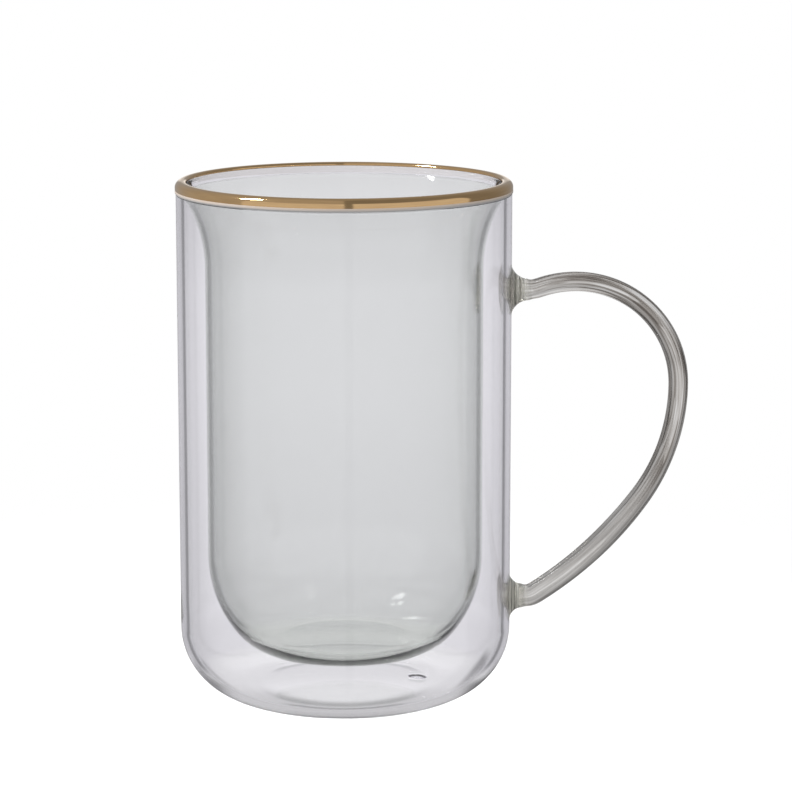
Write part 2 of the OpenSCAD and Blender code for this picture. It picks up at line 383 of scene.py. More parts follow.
def band_profile(walls):
    """Closed section of the gold film over the lip, thinning out at both edges."""
    outer = walls.jacket_d / 2
    low = walls.height - walls.band_h - walls.band_fade
    lip = lip_arcs(walls)
    path = joined(line((outer, low), lip[0], 16), lip)
    # Shares of the film's thickness: left at its edges, and its back's distance from the glass
    thin = 0.15
    clear = 0.05
    runs = [0.0]
    for start, end in zip(path, path[1:]):
        runs.append(runs[-1] + math.dist(start, end))
    under, over = [], []
    for i, (r, z) in enumerate(path):
        before = path[max(i - 1, 0)]
        after = path[min(i + 1, len(path) - 1)]
        length = math.dist(before, after)
        out = ((after[1] - before[1]) / length, (before[0] - after[0]) / length)
        share = min(min(runs[i], runs[-1] - runs[i]) / walls.band_edge, 1.0)
        film = thin + (1 - thin) * share * (2 - share)
        for side, lift in ((under, walls.band_t * clear), (over, walls.band_t * film)):
            side.append((r + out[0] * lift, z + out[1] * lift))
    return over + under[::-1] + over[:1]


def cap(radius, height, steps):
    """Points of a spherical cap that stands on Z = 0, from its edge to its top."""
    ball = (radius * radius + height * height) / (2 * height)
    return arc((0, height - ball), ball, math.degrees(math.acos(radius / ball)), 90, steps)


def seal_profile(walls):
    """Half section of the melted drop over the vent, from under the floor to its top."""
    r = walls.seal_d / 2
    below = -0.5 * MM
    settled = 0.06 * MM
    drop = [(x, z - settled) for x, z in cap(r, walls.seal_h, 20)]
    return joined([(0, below), (r, below)], drop)


def recess_profile(walls):
    """Half section of the hollow under the drop, narrower and lower than it, from below the base."""
    r = 0.42 * walls.seal_d
    below = -1.0 * MM
    return joined([(0, below), (r, below)], cap(r, 0.8 * walls.seal_h, 16))


def rod_radius(walls, handle, x, z):
    """Radius of the handle on its path: trumpet foot, neck, then rod, thicker along its lower sweep."""
    climb = (z - handle.lower_weld_z) / (handle.upper_weld_z - handle.lower_weld_z)
    rod = handle.rod_d / 2 + handle.low_swell / 2 * eased(climb, SWELL_FROM, SWELL_TO)
    upper = climb > 0.5
    foot = (handle.upper_weld_d if upper else handle.lower_weld_d) / 2
    skirt_l = handle.upper_skirt_l if upper else handle.lower_skirt_l
    out = x - walls.jacket_d / 2
    neck = rod + handle.neck_swell / 2
    if out <= 0:
        return foot
    if out < skirt_l:
        left = (1 - out / skirt_l) ** TRUMPET
        return foot - (foot - neck) * (1 - left) ** (1 / TRUMPET)
    return neck + (rod - neck) * eased(out, skirt_l, skirt_l + NECK_EASE)


def rod_path(walls, handle):
    """Centre line of the handle in its plane, from the upper weld's foot to the lower one's."""
    neck = walls.jacket_d / 2 + handle.weld_l
    reach = walls.jacket_d / 2 + handle.reach
    top_x = reach - handle.top_r
    rise = handle.rise_angle
    shoulder = (top_x - neck) / math.sin(rise) - handle.upper_heel_r
    top_z = handle.upper_weld_z + (top_x - neck) * math.tan(rise / 2)
    grip = Vector((reach - handle.grip_r, top_z - handle.top_r))
    lower = Vector((neck, handle.lower_weld_z + handle.lower_heel_r))
    # Centre of the sweep, which wraps round the grip's circle and the lower heel's
    gap = (lower - grip).length
    along = (lower - grip) / gap
    across = Vector((along.y, -along.x))
    d1 = handle.sweep_r - handle.grip_r
    d2 = handle.sweep_r - handle.lower_heel_r
    foot = (d1 * d1 - d2 * d2 + gap * gap) / (2 * gap)
    sweep = grip + along * foot + across * math.sqrt(d1 * d1 - foot * foot)
    grip_end = math.degrees(math.atan2(grip.y - sweep.y, grip.x - sweep.x))
    sweep_end = math.degrees(math.atan2(lower.y - sweep.y, lower.x - sweep.x))
    climb = math.degrees(rise)
    bends = [
        ((neck, handle.upper_weld_z + handle.upper_heel_r), handle.upper_heel_r, -90, climb - 90),
        ((top_x, top_z - shoulder), shoulder, 90 + climb, 90),
        ((top_x, top_z - handle.top_r), handle.top_r, 90, 0),
        (grip, handle.grip_r, 0, grip_end),
        (sweep, handle.sweep_r, grip_end, sweep_end),
        (lower, handle.lower_heel_r, sweep_end, -90)]
    runs = []
    for centre, radius, start, end in bends:
        steps = max(8, round(radius * math.radians(abs(end - start)) / handle.step))
        runs.append(arc(centre, radius, start, end, steps))
    # Both ends run on straight into the wall, where the welds are
    sunk = neck - handle.weld_l - ROOT_DEPTH
    upper = line((sunk, handle.upper_weld_z), (neck, handle.upper_weld_z), 40)
    return joined(upper, *runs, line((neck, handle.lower_weld_z), (sunk, handle.lower_weld_z), 40))


def new_tree(name, inputs):
    """A geometry node tree with named inputs of given kinds, and what adds a node to it."""
    tree = bpy.data.node_groups.new(name, "GeometryNodeTree")
    for label, kind in inputs.items():
        tree.interface.new_socket(name=label, in_out="INPUT", socket_type="NodeSocket" + kind)
    tree.interface.new_socket(name="Mesh", in_out="OUTPUT", socket_type="NodeSocketGeometry")
    return tree, partial(add_node, tree)


def end_tree(add, mesh, finish):
    """Ends a geometry node tree with a smooth, realized mesh in its finish."""
    mesh = add("GeometryNodeSetShadeSmooth", {"Geometry": mesh})
    mesh = add("GeometryNodeRealizeInstances", {"Geometry": mesh})
    mesh = add("GeometryNodeSetMaterial", {"Geometry": mesh, "Material": finish})
    add("NodeGroupOutput", (mesh,))


def revolve_tree():
    """Node tree that turns a half section, drawn in X and Z, round the Z axis."""
    tree, add = new_tree("Revolved Wall", {"Section": "Geometry", "Segments": "Int", "Finish": "Material"})
    given = add("NodeGroupInput").outputs
    size = add("GeometryNodeAttributeDomainSize", (given["Section"],), component="MESH")
    count = size.outputs["Point Count"]
    around = add(MATH, (given["Segments"], 1.0), operation="ADD")
    grid = add("GeometryNodeMeshGrid", {"Vertices X": around, "Vertices Y": count})
    index = add("GeometryNodeInputIndex")
    turn = add(MATH, (index, count), operation="DIVIDE")
    turn = add(MATH, (turn,), operation="FLOOR")
    place = add(MATH, (index, count), operation="MODULO")
    position = add("GeometryNodeInputPosition")
    sample = add("GeometryNodeSampleIndex", {0: given["Section"], 1: position, "Index": place},
                 data_type="FLOAT_VECTOR", domain="POINT")
    section = add("ShaderNodeSeparateXYZ", (sample,)).outputs
    share = add(MATH, (turn, given["Segments"]), operation="DIVIDE")
    # A full turn ends on the same number as it began
    share = add(MATH, (share,), operation="FRACT")
    angle = add(MATH, (share, math.tau), operation="MULTIPLY")
    cosine = add(MATH, (angle,), operation="COSINE")
    sine = add(MATH, (angle,), operation="SINE")
    x = add(MATH, (section["X"], cosine), operation="MULTIPLY")
    y = add(MATH, (section["X"], sine), operation="MULTIPLY")
    spot = add("ShaderNodeCombineXYZ", (x, y, section["Z"]))
    wall = add("GeometryNodeSetPosition", {"Geometry": grid, "Position": spot})
    wall = add("GeometryNodeMergeByDistance", {"Geometry": wall, "Distance": MERGE})
    end_tree(add, wall, given["Finish"])
    return tree


def rod_tree():
    """Node tree that draws a faintly ridged rod along a path, as thick as the path says."""
    tree, add = new_tree("Rod Along Path", {
        "Path": "Geometry", "Sides": "Int", "Ridges": "Int", "Ridge Share": "Float", "Finish": "Material"})
    given = add("NodeGroupInput").outputs
    path = add("GeometryNodeMeshToCurve", (given["Path"],))
    run = add("GeometryNodeSplineParameter").outputs
    path = add("GeometryNodeStoreNamedAttribute", {
        "Geometry": path, "Name": "along", "Value": run["Length"]}, data_type="FLOAT")
    ring = add("GeometryNodeCurvePrimitiveCircle", {"Resolution": given["Sides"], "Radius": 1.0})
    position = add("GeometryNodeInputPosition")
    ring = add("GeometryNodeStoreNamedAttribute", {
        "Geometry": ring, "Name": "around", "Value": position}, data_type="FLOAT_VECTOR")
    angle = add(MATH, (run["Factor"], math.tau), operation="MULTIPLY")
    angle = add(MATH, (angle, given["Ridges"]), operation="MULTIPLY")
    wave = add(MATH, (angle,), operation="COSINE")
    wave = add(MATH, (wave, given["Ridge Share"]), operation="MULTIPLY")
    lift = add("ShaderNodeVectorMath", {0: position, "Scale": wave}, operation="SCALE")
    ring = add("GeometryNodeSetPosition", {"Geometry": ring, "Offset": lift})
    thick = add("GeometryNodeInputNamedAttribute", {"Name": "thickness"}, data_type="FLOAT")
    rod = add("GeometryNodeCurveToMesh", {
        "Curve": path, "Profile Curve": ring, "Scale": thick, "Fill Caps": True})
    end_tree(add, rod, given["Finish"])
    return tree


def settle(piece):
    """Turns a piece with live modifiers into a plain mesh whose faces point outwards."""
    bpy.context.view_layer.update()
    graph = bpy.context.evaluated_depsgraph_get()
    mesh = bpy.data.meshes.new_from_object(piece.evaluated_get(graph))
    piece.modifiers.clear()
    old = piece.data
    piece.data = mesh
    mesh.name = piece.name
    bpy.data.meshes.remove(old)
    # A node tree leaves the first material slot empty
    while None in list(mesh.materials):
        mesh.materials.pop(index=list(mesh.materials).index(None))
    if not mesh.polygons:
        raise RuntimeError(f"{piece.name} came out empty")
    solid = bmesh.new()
    solid.from_mesh(mesh)
    if solid.calc_volume(signed=True) < 0:
        mesh.flip_normals()
    solid.free()
    mesh.shade_smooth()
    mesh.set_sharp_from_angle(angle=CREASE)
    return piece


def outline_object(name, points):
    """A new object whose mesh is one run of points in X and Z."""
    mesh = bpy.data.meshes.new(name)
    mesh.from_pydata([(x, 0.0, z) for x, z in points], [(i, i + 1) for i in range(len(points) - 1)], [])
    piece = bpy.data.objects.new(name, mesh)
    bpy.context.scene.collection.objects.link(piece)
    return piece


def with_nodes(piece, tree, values):
    """Gives a piece a node tree with its named inputs set, and settles the result."""
    modifier = piece.modifiers.new(tree.name, "NODES")
    modifier.node_group = tree
    for item in tree.interface.items_tree:
        if item.name in values:
            modifier[item.identifier] = values[item.name]
    return settle(piece)


def revolved(name, points, segments, finish):
    """A closed wall made by turning a half section round the Z axis."""
    tree = bpy.data.node_groups.get("Revolved Wall") or revolve_tree()
    return with_nodes(outline_object(name, points), tree, {"Segments": segments, "Finish": finish})


def fused(piece, tool, operation):
    """Melts a tool into a piece, or cuts it out, and removes the tool."""
    modifier = piece.modifiers.new("Fuse", "BOOLEAN")
    modifier.operation = operation
    modifier.solver = "MANIFOLD"
    modifier.object = tool
    before = len(piece.data.vertices)
    settle(piece)
    mesh = tool.data
    bpy.data.objects.remove(tool)
    bpy.data.meshes.remove(mesh)
    if len(piece.data.vertices) == before:
        raise RuntimeError(f"{piece.name} did not change in a {operation}")
    return piece


def new_finish(name):
    """A new material with an empty node tree, and what adds a node to it."""
    material = bpy.data.materials.new(name)
    material.use_nodes = True
    material.node_tree.nodes.clear()
    return material, partial(add_node, material.node_tree)


def glass_finish(name, tint, depth, draw_mm, ripple_mm, lift_mm, cords=None):
    """Fire-polished borosilicate glass, drawn as a tube and blown in a turning mould.

    To the eye it is clear and sharply polished, its colour deepens where the sight
    line runs a long way through the wall, and faint draw lines bend what shows in it.
    """
    material, add = new_finish(name)
    where = add("ShaderNodeTexCoord").outputs["Object"]
    # Draw lines run up the wall: draw_mm apart across it and ripple_mm long
    scale = [1 / (size * MM) for size in (draw_mm, draw_mm, ripple_mm)]
    stretch = add("ShaderNodeMapping", {"Vector": where, "Scale": scale})
    waves = add(NOISE, {"Vector": stretch, "Scale": 1.0, "Detail": 1.0, "Roughness": 0.4})
    bump = add("ShaderNodeBump", {"Height": waves, "Distance": lift_mm * MM, "Strength": 1.0})
    # Fire polish is never quite even: the gloss eases off a touch in the troughs
    gloss = add(RAMP, (waves, 0.3, 0.7, 0.012, 0.0))
    glass = add(SHADER, {
        "Base Color": WHITE, "Roughness": gloss, "IOR": GLASS_IOR, "Transmission Weight": 1.0,
        "Normal": bump})
    if cords:
        drawn_cords(add, glass, *cords)
    body = add("ShaderNodeVolumeAbsorption", {"Color": tint, "Density": depth})
    # Lamps shine through the walls, so the shadow is as pale as real glass casts
    shadow = add("ShaderNodeLightPath").outputs["Is Shadow Ray"]
    clear = add("ShaderNodeBsdfTransparent", {"Color": (0.94, 0.94, 0.95, 1.0)})
    surface = add("ShaderNodeMixShader", (shadow, glass, clear))
    add("ShaderNodeOutputMaterial", {"Surface": surface, "Volume": body})
    return material


def drawn_cords(add, glass, plain, dark, cloudy, thin, thick):
    """Marks of a rod that was drawn and then melted on to a wall.

    To the eye it has cords along it, where its glass was less well mixed, and it is
    faintly cloudy in rings at its welds. The pale and dark cords are partly painted
    light and shade too: they stand in for the bright and dark lines that the rod shows by refraction.
    """
    read = {name: add("ShaderNodeAttribute", attribute_name=name).outputs
            for name in ("around", "along", "thickness", "weld")}
    along = read["along"]["Fac"]
    weld = read["weld"]["Fac"]
    # Cords are about 0.5 mm apart round the rod, whose ring is stored as a unit circle, and 120 mm long
    drawn = add(MATH, (along, 1 / (120 * MM)), operation="MULTIPLY")
    lay = add("ShaderNodeSeparateXYZ", (read["around"]["Vector"],)).outputs
    lay = add("ShaderNodeCombineXYZ", (lay["X"], lay["Y"], drawn))
    blend = add(NOISE, {"Vector": lay, "Scale": 5.2, "Detail": 1.0, "Roughness": 0.5})
    # Paler and darker cords, partly the glass's own and partly painted light and shade
    clear = add(RAMP, (blend, 0.41, 0.46), **SMOOTH)
    dull = add(RAMP, (blend, 0.54, 0.59), **SMOOTH)
    hue = add(MIX, {0: clear, 6: WHITE, 7: plain}, **COLOURS)
    hue = add(MIX, {0: dull, 6: hue, 7: dark}, **COLOURS)
    # The lower sweep is thicker, and where it is thicker its glass is painted paler, as painted light
    painted_paleness = add(RAMP, (read["thickness"]["Fac"], thin, thick, 0.0, 0.42))
    hue = add(MIX, {0: painted_paleness, 6: hue, 7: WHITE}, **COLOURS)
    hue = add(MIX, {0: weld, 6: hue, 7: cloudy}, **COLOURS)
    # Rings 0.6 mm apart where the melted end was pushed against the wall
    ring = add(NOISE, {"W": along, "Scale": 1 / (0.6 * MM), "Detail": 0.0}, noise_dimensions="1D")
    ring = add(RAMP, (ring, 0.4, 0.6, 0.1, 0.6))
    cloud = add(MATH, (weld, ring), operation="MULTIPLY")
    cloud = add(MATH, (1.0, cloud), operation="SUBTRACT")
    links = glass.id_data.links
    links.new(hue.outputs[2], glass.inputs["Base Color"])
    links.new(cloud.outputs[0], glass.inputs["Transmission Weight"])


def brush_streaks(add):
    """Streaks that the brush left in the gold, 0.35 mm apart up the lip and about 6 mm long round it."""
    where = add("ShaderNodeTexCoord").outputs["Object"]
    scale = [1 / (size * MM) for size in (6, 6, 0.35)]
    stretch = add("ShaderNodeMapping", {"Vector": where, "Scale": scale})
    return add(NOISE, {"Vector": stretch, "Scale": 1.0, "Detail": 3.0, "Roughness": 0.55})


def seen_through(add, film, share=None):
    """Ends the tree of a film so thin that light shines through it, by a share or else from its back."""
    share = share or add("ShaderNodeNewGeometry").outputs["Backfacing"]
    bare = add("ShaderNodeBsdfTransparent", {"Color": (0.95, 0.94, 0.93, 1.0)})
    surface = add("ShaderNodeMixShader", (share, film, bare))
    add("ShaderNodeOutputMaterial", {"Surface": surface})


def gold_finish(name, colour, shade):
    """Bright liquid gold, brushed on the turning lip and fired.

    To the eye it is a warm mirror with fine streaks that run round the lip, where the
    brush left the film thinner and a little duller.
    """
    material, add = new_finish(name)
    film = brush_streaks(add)
    hue = add(MIX, {0: film, 6: shade, 7: colour}, **COLOURS)
    gloss = add(RAMP, (film, 0.3, 0.7, 0.1, 0.05))
    bump = add("ShaderNodeBump", {"Height": film, "Distance": 0.004 * MM, "Strength": 1.0})
    metal = add(SHADER, {"Base Color": hue, "Metallic": 1.0, "Roughness": gloss, "Normal": bump})
    seen_through(add, metal)
    return material


def back_finish(name, colour):
    """Back of the fired gold, against the glass: so thin that it is a faint, clear tint from inside."""
    material, add = new_finish(name)
    share = add(RAMP, (brush_streaks(add), 0.3, 0.7, 0.8, 0.9))
    ground = add(SHADER, {"Base Color": colour, "Roughness": 0.6})
    seen_through(add, ground, share)
    return material


def thin_finish(name, gold, share, upper, lower, low, high):
    """Fired gold where it is thin, at its lower edge.

    To the eye it is a dull, pale ground with a little gold in streaks, and its colour
    goes from one to another between two heights.
    """
    material, add = new_finish(name)
    film = brush_streaks(add)
    warm = add(MATH, (film, share), operation="MULTIPLY")
    hue = add(MIX, {0: warm, 6: upper, 7: gold}, **COLOURS)
    where = add("ShaderNodeTexCoord").outputs["Object"]
    place = add("ShaderNodeSeparateXYZ", (where,)).outputs
    climb = add(RAMP, (place["Z"], low, high), **SMOOTH)
    hue = add(MIX, {0: climb, 6: lower, 7: hue}, **COLOURS)
    gloss = add(RAMP, (film, 0.3, 0.7, 0.64, 0.56))
    ground = add(SHADER, {"Base Color": hue, "Roughness": gloss})
    seen_through(add, ground)
    return material


def strip(add, value, middle, half, faded, inside, outside, ease="SMOOTHSTEP"):
    """A soft strip about the middle of a value: inside up to half its width, outside where it has faded."""
    away = add(MATH, (value, middle), operation="SUBTRACT")
    away = add(MATH, (away,), operation="ABSOLUTE")
    return add(RAMP, (away, half, faded, inside, outside), interpolation_type=ease)


def painted_edge_shadows(add, x, y, far):
    """Two thin painted shadows of the jacket's edges on the paper, which spread as they run back a little
    way.
    """
    # They are mirrored about a line that leans to one side
    lean = 0.11
    spread = -0.433
    across = add(MATH, (y, lean, x), operation="MULTIPLY_ADD")
    across = add(MATH, (across, 1.5 * MM), operation="ADD")
    across = add(MATH, (across,), operation="ABSOLUTE")
    across = add(MATH, (y, spread, across), operation="MULTIPLY_ADD")
    # A painted shadow, dark along that line and fading out to either side
    shadow = strip(add, across, 38.7 * MM, 2 * MM, 5.5 * MM, 1.0, 0.0)
    start = add(RAMP, (y, -20 * MM, -7 * MM), **SMOOTH)
    shadow = add(MATH, (shadow, start), operation="MULTIPLY")
    end = add(RAMP, (far, 42 * MM, 60 * MM, 1.0, 0.0), **SMOOTH)
    return add(MATH, (shadow, end), operation="MULTIPLY")


def painted_foot_shades(add, y, far):
    """How pale the paper is through the base, all of it painted shade: shaded in front of the foot, with a
    painted shadow line where it stands.
    """
    pale = 0.92
    # A painted shadow line where the foot stands, left out behind the mug
    foot = strip(add, far, 20.6 * MM, 0.5 * MM, 1.5 * MM, 0.55, pale)
    rear = add(RAMP, (y, 6 * MM, 13 * MM), **SMOOTH)
    foot = add(MIX, {0: rear, 2: pale, 3: foot})
    # Painted shade in front of the foot, a little lighter again beyond it
    shade = add(RAMP, (far, 17.5 * MM, 23 * MM, 0.86, 0.36), **SMOOTH)
    beyond = add(RAMP, (far, 23.3 * MM, 25.2 * MM, 0.0, 0.26))
    shade = add(MATH, (shade, beyond), operation="ADD")
    # A painted dark streak a little way out from the foot, in the middle of the front only
    edge = strip(add, far, 27.2 * MM, 0.8 * MM, 1.6 * MM, 0.2, 1.0)
    middle = add(RAMP, (y, -21 * MM, -24.5 * MM), **SMOOTH)
    edge = add(MIX, {0: middle, 2: 1.0, 3: edge})
    shade = add(MATH, (shade, edge), operation="MULTIPLY")
    # The painted shade lies in front, and the painted foot line at the sides
    front = add(RAMP, (y, -4 * MM, -20 * MM), **SMOOTH)
    return add(MIX, {0: front, 2: foot, 3: shade})


def paper_finish(name):
    """Matt white paper sweep.

    To the eye it is plain white with the mug's soft shadow on it. Seen in metal or
    through glass, it goes over into the backdrop close behind the mug, and it glows
    with painted shade round the foot and painted shadows of the jacket's edges.
    """
    material, add = new_finish(name)
    where = add("ShaderNodeTexCoord").outputs["Object"]
    far = add("ShaderNodeVectorMath", (where,), operation="LENGTH")
    place = add("ShaderNodeSeparateXYZ", (where,)).outputs
    path = add("ShaderNodeLightPath").outputs
    seen = add(MATH, (path["Is Glossy Ray"], path["Is Transmission Ray"]), operation="MAXIMUM")
    wide = add(RAMP, (far, 90 * MM, 240 * MM, 1.0, 0.0), **SMOOTH)
    near = add(RAMP, (far, 36 * MM, 50 * MM, 1.0, 0.0), **SMOOTH)
    # Painted shadows of the jacket's edges: the paper reaches further out along them
    shadow = painted_edge_shadows(add, place["X"], place["Y"], far)
    near = add(MATH, (near, shadow), operation="MAXIMUM")
    fade = add(MIX, {0: seen, 2: wide, 3: near})
    # Painted shade round the foot, as glass and metal see the paper
    shade = painted_foot_shades(add, place["Y"], far)
    # Under the painted shadows the paper is painted darker still
    shade = add(MIX, {0: shadow, 2: shade, 3: 0.2})
    # Seen in metal or through glass, the paper glows only as bright as its painted shade
    glow = add(MATH, (seen, shade), operation="MULTIPLY")
    # To the camera the paper glows, so that it is as white as the backdrop
    glow = add(MATH, (path["Is Camera Ray"], 0.66, glow), operation="MULTIPLY_ADD")
    matt = add(MIX, {0: seen, 6: (0.45, 0.45, 0.45, 1.0), 7: (0.0, 0.0, 0.0, 1.0)}, **COLOURS)
    paper = add("ShaderNodeBsdfDiffuse", {"Color": matt})
    light = add("ShaderNodeEmission", {"Strength": glow})
    lit = add("ShaderNodeAddShader", (paper, light))
    gone = add("ShaderNodeBsdfTransparent")
    surface = add("ShaderNodeMixShader", (fade, gone, lit))
    add("ShaderNodeOutputMaterial", {"Surface": surface})
    return material


def room_light(add, studio, turn, z):
    """Brightness of the room where it lights the mug or is mirrored, by its direction."""
    back = strip(add, turn, 0.0, 5 * DEGREE, 12 * DEGREE, 1.0, 0.0)
    under = add(RAMP, (z, 0.05, 0.2, 1.0, 0.0), **SMOOTH)
    back = add(MATH, (back, under), operation="MULTIPLY")
    # The side away from the handle is the lighter one
    light, dark = studio.side_level * 1.5, studio.side_level * 0.8
    side = add(RAMP, (turn, -60 * DEGREE, 60 * DEGREE, light, dark))
    back = add(MATH, (back, side), operation="MAXIMUM")
    # The bright wall behind the camera reaches a little further round on the handle's side
    wall = strip(add, turn, -10 * DEGREE, 93 * DEGREE, 99 * DEGREE, 0.0, studio.front_level)
    low = add(RAMP, (z, 0.45, 0.65, 1.0, 0.3), **SMOOTH)
    front = add(MATH, (wall, low), operation="MULTIPLY")
    # The camera on its stand is a dark strip in front of that wall
    stand = strip(add, turn, 177 * DEGREE, 2.2 * DEGREE, 3.6 * DEGREE, 0.35, 1.0)
    front = add(MATH, (front, stand), operation="MULTIPLY")
    return add(MATH, (back, front), operation="MAXIMUM")


def backdrop_light(add, studio, turn, z):
    """Brightness of the room through glass: palest behind the mug, less so round and above it."""
    wide = strip(add, turn, 3 * DEGREE, 9 * DEGREE, 30 * DEGREE, 1.0, 0.6, "LINEAR")
    # A dark card stands on edge at either side
    aside = add(MATH, (turn,), operation="ABSOLUTE")
    card = strip(add, aside, 31 * DEGREE, 1.5 * DEGREE, 5 * DEGREE, 0.4, 1.0)
    pale = add(MATH, (wide, card), operation="MULTIPLY")
    above = add(RAMP, (z, -0.15, -0.1, 1.0, 0.82))
    sky = add(RAMP, (z, -0.1, 0.2, 1.0, 0.8))
    high = add(RAMP, (z, 0.24, 0.45, 0.0, 0.34), **SMOOTH)
    above = add(MATH, (above, sky, high), operation="MULTIPLY_ADD")
    below = add(RAMP, (z, -0.27, -0.18, 0.86, 1.0))
    tall = add(MATH, (above, below), operation="MULTIPLY")
    pale = add(MATH, (pale, tall), operation="MULTIPLY")
    # The wall behind the camera, seen by light that turns back in the glass
    behind = strip(add, turn, 0.0, 85 * DEGREE, 110 * DEGREE, 0.0, 0.95)
    lifted = add(RAMP, (z, -0.3, -0.05), **SMOOTH)
    behind = add(MATH, (behind, lifted), operation="MULTIPLY")
    pale = add(MATH, (pale, behind), operation="MAXIMUM")
    return add(MATH, (pale, studio.through_level), operation="MULTIPLY")


def on_mug(piece, slot, *nodes):
    """Puts a finished piece on the mug in place of its solids."""
    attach(piece, BODY)
    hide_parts(*nodes)
    return piece


class MUG_OT_jacket(bpy.types.Operator):
    """Builds the clear jacket with its sealed vent melted in"""
    bl_idname = "mug.jacket"
    bl_label = "Clear Jacket"

    def execute(self, context):
        walls = context.scene.mug.walls
        finishes = context.scene.mug.finishes
        finish = glass_finish("Clear Borosilicate Glass Fire Polished", finishes.clear_tint,
                              finishes.clear_depth, 9, 70, 0.004)
        jacket = revolved("clear_jacket", jacket_profile(walls), walls.segments, finish)
        r = walls.push_up_d / 2 - walls.vent_inset
        steps = ((seal_profile(walls), walls.base_t, "UNION"), (recess_profile(walls), 0, "DIFFERENCE"))
        for profile, grown, operation in steps:
            tool = revolved("vent_tool", profile, SEAL_SEGMENTS, finish)
            vent = (r * math.cos(walls.vent_angle), r * math.sin(walls.vent_angle), dome_z(walls, r, grown))
            tool.data.transform(Matrix.Translation(vent))
            fused(jacket, tool, operation)
        on_mug(jacket, "clear_glass", "outer_wall", "vent_seal")
        return {"FINISHED"}


class MUG_OT_liner(bpy.types.Operator):
    """Builds the grey tinted liner"""
    bl_idname = "mug.liner"
    bl_label = "Grey Liner"

    def execute(self, context):
        walls = context.scene.mug.walls
        finishes = context.scene.mug.finishes
        finish = glass_finish("Grey Borosilicate Glass Fire Polished", finishes.grey_tint,
                              finishes.grey_depth, 7, 60, 0.004)
        liner = revolved("grey_liner", liner_profile(walls), walls.segments, finish)
        on_mug(liner, "grey_glass", "inner_cup")
        return {"FINISHED"}


class MUG_OT_band(bpy.types.Operator):
    """Builds the fired gold band on the lip"""
    bl_idname = "mug.band"
    bl_label = "Gold Band"

    def execute(self, context):
        walls = context.scene.mug.walls
        finishes = context.scene.mug.finishes
        finish = gold_finish("Bright Liquid Gold Fired", finishes.gold, finishes.gold_shade)
        band = revolved("gold_lip_band", band_profile(walls), walls.segments, finish)
        full = walls.height - walls.band_h
        gold_share = 0.3
        edge = thin_finish("Fired Gold Thin Edge Matt", finishes.gold, gold_share, finishes.edge_warm,
                           finishes.edge_grey, full - walls.band_fade, full)
        band.data.materials.append(edge)
        band.data.materials.append(back_finish("Fired Gold Back Thin", finishes.film_back))
        lip = Vector((walls.jacket_d - walls.lip_t, 2 * (walls.height - walls.lip_out_r))) / 2
        for face in band.data.polygons:
            spot = face.center
            out = Vector((math.hypot(spot.x, spot.y), min(spot.z, walls.height))) - lip
            out.y = max(out.y, 0)
            spread = (face.normal.x * spot.x + face.normal.y * spot.y) / (out.x + lip.x)
            # Faces that look at the glass, and those below the full gold
            if spread * out.x + face.normal.z * out.y < 0:
                face.material_index = 2
            elif spot.z < full:
                face.material_index = 1
        on_mug(band, "gold", "gold_band")
        return {"FINISHED"}


class MUG_OT_handle(bpy.types.Operator):
    """Builds the bent glass rod of the handle with its two melted welds"""
    bl_idname = "mug.handle"
    bl_label = "Rod Handle"

    def execute(self, context):
        walls = context.scene.mug.walls
        handle = context.scene.mug.handle
        finishes = context.scene.mug.finishes
        finish = glass_finish("Solid Borosilicate Rod Flame Worked", finishes.rod_tint,
                              finishes.rod_depth, 3, 40, 0.003,
                              (finishes.rod_plain, finishes.rod_cord_and_shade, finishes.rod_weld,
                               handle.rod_d / 2, (handle.rod_d + handle.low_swell) / 2))
        wall_r = walls.jacket_d / 2
        path = rod_path(walls, handle)
        rod = outline_object("glass_rod_handle", path)
        # The glass is cloudy from a short way out on the weld to a little way along the rod
        cloudy, clear = 0.2 * handle.weld_l, 1.5 * handle.weld_l
        marks = {"thickness": [rod_radius(walls, handle, x, z) for x, z in path],
                 "weld": [eased(x - wall_r, clear, cloudy) for x, z in path]}
        for name, values in marks.items():
            rod.data.attributes.new(name, "FLOAT", "POINT").data.foreach_set("value", values)
        tree = bpy.data.node_groups.get("Rod Along Path") or rod_tree()
        with_nodes(rod, tree, {
            "Sides": handle.sides, "Ridges": handle.ridges, "Ridge Share": 2 * handle.ridge / handle.rod_d,
            "Finish": finish})
        self.seat(rod.data, wall_r, handle.weld_l)
        # The feet end on the jacket's round face
        low = handle.lower_weld_z - handle.lower_weld_d
        high = handle.upper_weld_z + handle.upper_weld_d
        face = wall_r - walls.seam_lap
        core = revolved("core", [(0, low), (face, low), (face, high), (0, high)], walls.segments, finish)
        fused(rod, core, "DIFFERENCE")
        on_mug(rod, "clear_glass", "handle_rod", "upper_weld", "lower_weld")
        return {"FINISHED"}

    @staticmethod
    def seat(mesh, wall_r, length):
        """Bends the feet of the welds to the round wall."""
        for vertex in mesh.vertices:
            share = min(max(1 - (vertex.co.x - wall_r) / length, 0), 1)
            fall = wall_r - math.sqrt(wall_r * wall_r - min(vertex.co.y ** 2, wall_r * wall_r))
            vertex.co.x -= fall * share


